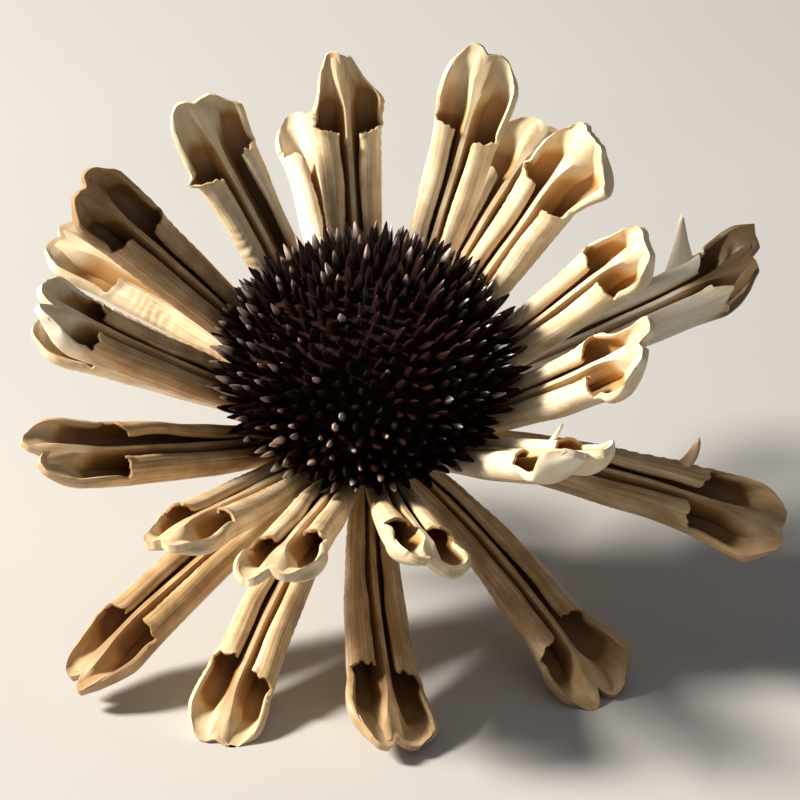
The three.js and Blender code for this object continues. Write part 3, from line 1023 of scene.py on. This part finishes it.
def makeCollar():
    deselectAll()
    height = collar["high"] - collar["low"]
    bpy.ops.mesh.primitive_cylinder_add(
        vertices=6 * collar["feet"],
        radius=collar["outside"],
        depth=height,
        location=(0, 0, collar["low"] + height / 2),
    )
    ring = nameNew("huskCollar")
    bpy.ops.object.transform_apply(location=True, rotation=False, scale=False)
    editFaces(ring, lambda face: abs(face.normal.z) > 0.9)
    bpy.ops.mesh.inset(thickness=collar["inset"])
    bpy.ops.mesh.inset(thickness=collar["inset"])
    editFaces(ring, lambda face: abs(face.normal.z) < 0.1)
    bpy.ops.mesh.subdivide(number_cuts=6)
    bpy.ops.object.mode_set(mode="OBJECT")
    points = pointsOf(ring)
    reach = np.hypot(points[:, 0], points[:, 1])
    turn = np.arctan2(points[:, 1], points[:, 0])
    up = (points[:, 2] - collar["low"]) / height
    edge = np.minimum(up, 1 - up) * height
    rounding = np.sqrt(np.maximum(collar["bevel"] ** 2 - (collar["bevel"] - edge) ** 2, 0))
    inward = np.where(edge < collar["bevel"], collar["bevel"] - rounding, 0)
    rough = np.array([noise.noise(Vector((x, y, z))) for x, y, z in points * 0.9])
    swell = collar["swell"] * np.cos(turn * collar["feet"]) + collar["rough"] * rough
    outer = ease(collar["outside"] - 1.5, collar["outside"], reach)
    wanted = reach + (swell - inward) * outer
    points[:, :2] *= (wanted / np.maximum(reach, 1e-6))[:, None]
    movePoints(ring, points)
    count = len(points)
    writeNumbers(ring, "pocket", np.full(count, 0.5) + 0.3 * rough)
    writeNumbers(ring, "tone", np.full(count, 0.1))
    grain = np.stack([points[:, 2] * 3, turn * 8, reach], 1)
    writeNumbers(ring, "grainPlace", grain)
    smoothCurves(ring, 50)
    finishPiece(ring, "petals", [huskWood])


makeCollar()
print("collar made")

# ---- the bristly cone
core = {
    "radius": 14.8,
    "middle": 10.9,  # height of its widest part
    "height": 8.6,  # above that
    "depth": 6.3,  # below it
    "forward": 1.2,  # of the stem's axis
    "rough": 0.45,  # how uneven the chaff is
}
bristles = {
    "count": 480,
    "lowest": 92 * degree,  # from the top of the dome
    "sunk": 1.1,  # in the chaff
    "short": 2.5,  # how far they stand out at the top
    "long": 4.3,  # and at the dome's edge
    "lift": 0.6,  # how much the outermost turn up
    "scatter": 0.02,  # how far one stands off the spiral
    "tilt": (0.09, 0.05),  # how far one leans off its way, sideways and up or down
    "bend": 0.14,  # how slantingly a tip leaves the foot's direction
    "paintedGlint": 0.3,  # share of them with a painted glint at the tip
    # up the bristle: height and girth
    "levels": [(0, 0.76), (0.35, 0.7), (0.62, 0.57), (0.82, 0.38), (0.95, 0.18), (1, 0.04)],
}
goldenAngle = math.pi * (3 - math.sqrt(5))


def makeCore():
    deselectAll()
    bpy.ops.mesh.primitive_uv_sphere_add(segments=120, ring_count=60, radius=1)
    dome = nameNew("coneCore")
    points = pointsOf(dome)
    rough = np.array([noise.noise(Vector((x, y, z)) * 16) for x, y, z in points])
    fat = 1 + core["rough"] / core["radius"] * rough
    tall = np.where(points[:, 2] > 0, core["height"], core["depth"])
    place = np.stack([
        points[:, 0] * core["radius"] * fat,
        points[:, 1] * core["radius"] * fat - core["forward"],
        points[:, 2] * tall * fat + core["middle"],
    ], 1)
    movePoints(dome, place)
    smoothCurves(dome, 60)
    finishPiece(dome, "cone", [dryChaff])


def makeBristle():  # one unit long, drawn up ring by ring to a keen tip, and slightly bent
    deselectAll()
    last = bristles["levels"][0]
    bpy.ops.mesh.primitive_circle_add(vertices=6, radius=last[1], fill_type="NGON")
    thornlet = nameNew("bristle")
    bpy.ops.object.mode_set(mode="EDIT")
    bpy.ops.mesh.select_all(action="SELECT")
    for level in bristles["levels"][1:]:
        rise = level[0] - last[0]
        step = (bristles["bend"] * level[0] * rise, 0, rise)
        bpy.ops.mesh.extrude_region_move(TRANSFORM_OT_translate={"value": step})
        shrink = level[1] / last[1]
        middle = (bristles["bend"] / 2 * level[0] ** 2, 0, level[0])
        bpy.ops.transform.resize(value=(shrink, shrink, 1), center_override=middle)
        last = level
    bpy.ops.mesh.select_all(action="SELECT")
    bpy.ops.mesh.normals_make_consistent(inside=False)
    bpy.ops.object.mode_set(mode="OBJECT")
    writeNumbers(thornlet, "tip", pointsOf(thornlet)[:, 2])
    return thornlet


def makeBristles():
    model = makeBristle()
    up = Vector((0, 0, 1))
    grown = []
    for i in range(bristles["count"]):
        share = (i + 0.5) / bristles["count"]
        down = math.acos(1 - (1 - math.cos(bristles["lowest"])) * share)
        turn = i * goldenAngle + draw.gauss(0, bristles["scatter"])
        out = Vector((math.cos(turn), math.sin(turn), 0))
        foot = out * core["radius"] * math.sin(down)
        foot.z = core["middle"] + core["height"] * math.cos(down)
        way = out * math.sin(down) + up * (math.cos(down) + bristles["lift"] * math.sin(down))
        sideways, upwards = bristles["tilt"]
        way += Vector((draw.gauss(0, sideways), draw.gauss(0, sideways), draw.gauss(0, upwards)))
        length = bristles["short"] + (bristles["long"] - bristles["short"]) * math.sin(down) ** 2
        length *= draw.uniform(0.82, 1.12) * (0.62 + 0.38 * float(ease(0.05, 0.4, down)))
        girth = draw.uniform(0.85, 1.1)
        bristle = copyOf(model, "bristle")
        spin = Matrix.Rotation(draw.uniform(0, 2 * math.pi), 4, "Z")
        shape = Matrix.Diagonal((girth, girth * 0.8, length + bristles["sunk"], 1))
        stand = up.rotation_difference(way.normalized()).to_matrix().to_4x4()
        start = foot - way.normalized() * bristles["sunk"] - Vector((0, core["forward"], 0))
        bristle.data.transform(Matrix.Translation(start) @ stand @ spin @ shape)
        tone = draw.uniform(-0.2, 0.12)
        writeNumbers(bristle, "tone", np.full(len(bristle.data.vertices), tone))
        # a tip's painted glint is likelier on the lit left and at the back, and never at the very top
        chance = bristles["paintedGlint"] * (1 - 0.75 * out.x + 0.3 * out.y) * math.sin(down)
        paintedGlint = 0
        if draw.random() < chance:
            paintedGlint = draw.uniform(0.35, 1) * (0.75 - 0.25 * out.x)
        glintFrom = draw.uniform(0.68, 0.9)
        atTip = ease(glintFrom, glintFrom + 0.1, readNumbers(bristle, "tip"))
        writeNumbers(bristle, "paintedGlint", paintedGlint * atTip)
        grown.append(bristle)
    bpy.data.objects.remove(model)
    tuft = joined(grown, "coneBristles")
    smoothCurves(tuft, 50)
    finishPiece(tuft, "cone", [bristleHorn])


makeCore()
makeBristles()
print("cone made", bristles["count"])

# ---- the stem
stem = {
    # height above the collar's middle and radius, from below the surface up to the neck
    "outline": [
        (-32, 2.15),
        (-18, 2),
        (-9.5, 1.95),
        (-6.4, 2.5),
        (-4.3, 4.2),
        (-3.6, 5.8),
        (-3.2, 5.8),
        (-3.1, 2.4),
        (3.9, 2.3),
    ],
    "rings": 110,
    "ribs": 8,
    "groove": 0.05,  # half its depth, as a share of the radius
    "rough": 0.06,  # the same for the bark's unevenness
    "bark": 0.55,  # thickness round the pith
    "pithArea": 2e-6,  # square metres; the cut's pith is larger and its rim of bark smaller
}


def makeStem():
    deselectAll()
    low, high = stem["outline"][0][0], stem["outline"][-1][0]
    bpy.ops.mesh.primitive_cylinder_add(
        vertices=64, radius=1, depth=high - low, location=(0, 0, (low + high) / 2)
    )
    stalk = nameNew("stem")
    bpy.ops.object.transform_apply(location=True, rotation=False, scale=False)
    bpy.ops.object.mode_set(mode="EDIT")
    for ring in range(1, stem["rings"]):
        bpy.ops.mesh.select_all(action="SELECT")
        height = low + (high - low) * ring / stem["rings"]
        bpy.ops.mesh.bisect(plane_co=(0, 0, height), plane_no=(0, 0, 1))
    bpy.ops.object.mode_set(mode="OBJECT")
    points = pointsOf(stalk)
    heights = [p[0] for p in stem["outline"]]
    radii = [p[1] for p in stem["outline"]]
    radius = np.interp(points[:, 2], heights, radii)
    turn = np.arctan2(points[:, 1], points[:, 0])
    rough = np.array([
        noise.noise(Vector((math.cos(t) * 3, math.sin(t) * 3, z * 0.35)))
        for t, z in zip(turn, points[:, 2])
    ])
    ribs = 1 - stem["groove"] * (1 - np.cos(turn * stem["ribs"])) + stem["rough"] * rough
    points[:, 0] = np.cos(turn) * radius * ribs
    points[:, 1] = np.sin(turn) * radius * ribs
    movePoints(stalk, points)
    # the slanted cut, where the stalk meets the surface
    axis = Vector((0, math.sin(laid["lean"]), math.cos(laid["lean"])))
    bpy.ops.object.mode_set(mode="EDIT")
    bpy.ops.mesh.select_all(action="SELECT")
    bpy.ops.mesh.bisect(
        plane_co=-axis * hubHeight, plane_no=axis, use_fill=True, clear_inner=True
    )
    editFaces(stalk, lambda face: face.normal.dot(axis) < -0.99)
    bpy.ops.mesh.inset(thickness=stem["bark"])
    bpy.ops.object.mode_set(mode="OBJECT")
    smoothCurves(stalk, 40)
    finishPiece(stalk, "stem", [stemBark, cutPith])
    for face in stalk.data.polygons:
        if face.normal.z < -0.99 and face.area > stem["pithArea"]:
            face.material_index = 1


makeStem()
print("stem made")

# ---- floor, light and camera
stage = {
    "floor": "#B7B7B9",
    "cloud": "#BDBDBF",
    "clouds": 9.0,  # to the metre
    "size": 16.0,  # metres each way
    "sky": 0.12,  # strength of the light from all round
}


def makeFloor():
    # Matte pale paper board, with no pattern to see.
    board = newMaterial("paleBoard")
    spot = addNode(board, "TexCoord").outputs["Object"]
    cloud = addNode(
        board, "TexNoise", {"Vector": spot, "Scale": stage["clouds"], "Detail": 2.0}
    )
    tint = addNode(
        board,
        "ValToRGB",
        {"Fac": cloud.outputs["Fac"]},
        stops=[(0.3, stage["floor"]), (0.7, stage["cloud"])],
    )
    shader = addNode(
        board, "BsdfPrincipled", {"Base Color": tint.outputs["Color"], "Roughness": 0.9}
    )
    addNode(board, "OutputMaterial", {"Surface": shader.outputs[0]})
    deselectAll()
    bpy.ops.mesh.primitive_plane_add(size=stage["size"])
    floor = nameNew("floor")
    floor.data.materials.append(board)


lights = {  # name: (place, width in metres, watts, colour)
    "key": ((-0.7, 0.04, 0.5), 0.16, 18.0, "#FFF6E6"),
    "fill": ((0.6, -0.7, 0.5), 0.9, 0.6, "#F8FAFF"),
    "top": ((0.1, 0.35, 0.8), 0.9, 0.3, "#FFFFFF"),
}


def lightScene():
    target = hub * 0.001
    for name, (place, width, watts, tint) in lights.items():
        lamp = bpy.data.lights.new(name, "AREA")
        lamp.size = width
        lamp.energy = watts
        lamp.color = linear(tint)[:3]
        holder = bpy.data.objects.new(name, lamp)
        holder.location = place
        holder.rotation_euler = (target - Vector(place)).to_track_quat("-Z", "Y").to_euler()
        bpy.context.scene.collection.objects.link(holder)
    world = bpy.data.worlds.new("studio")
    world.use_nodes = True
    sky = world.node_tree.nodes["Background"]
    sky.inputs["Color"].default_value = (1, 1, 1, 1)
    sky.inputs["Strength"].default_value = stage["sky"]
    bpy.context.scene.world = world
    bpy.context.scene.view_settings.view_transform = "Standard"


view = {
    "elevation": 27 * degree,
    "distance": 0.62,  # metres
    "lens": 238,
    "right": 3.7,  # how far beside the collar's middle it looks, in mm
    "up": 1.7,  # and above it
}


def makeCamera():
    back = Vector((0, -math.cos(view["elevation"]), math.sin(view["elevation"])))
    up = Vector((0, math.sin(view["elevation"]), math.cos(view["elevation"])))
    aim = (hub + Vector((view["right"], 0, 0)) + up * view["up"]) * 0.001
    camera = bpy.data.cameras.new("camera")
    camera.lens = view["lens"]
    camera.sensor_width = 36
    holder = bpy.data.objects.new("camera", camera)
    holder.location = aim + back * view["distance"]
    holder.rotation_euler = (-back).to_track_quat("-Z", "Y").to_euler()
    bpy.context.scene.collection.objects.link(holder)
    bpy.context.scene.camera = holder


makeFloor()
lightScene()
makeCamera()
print("stage set")
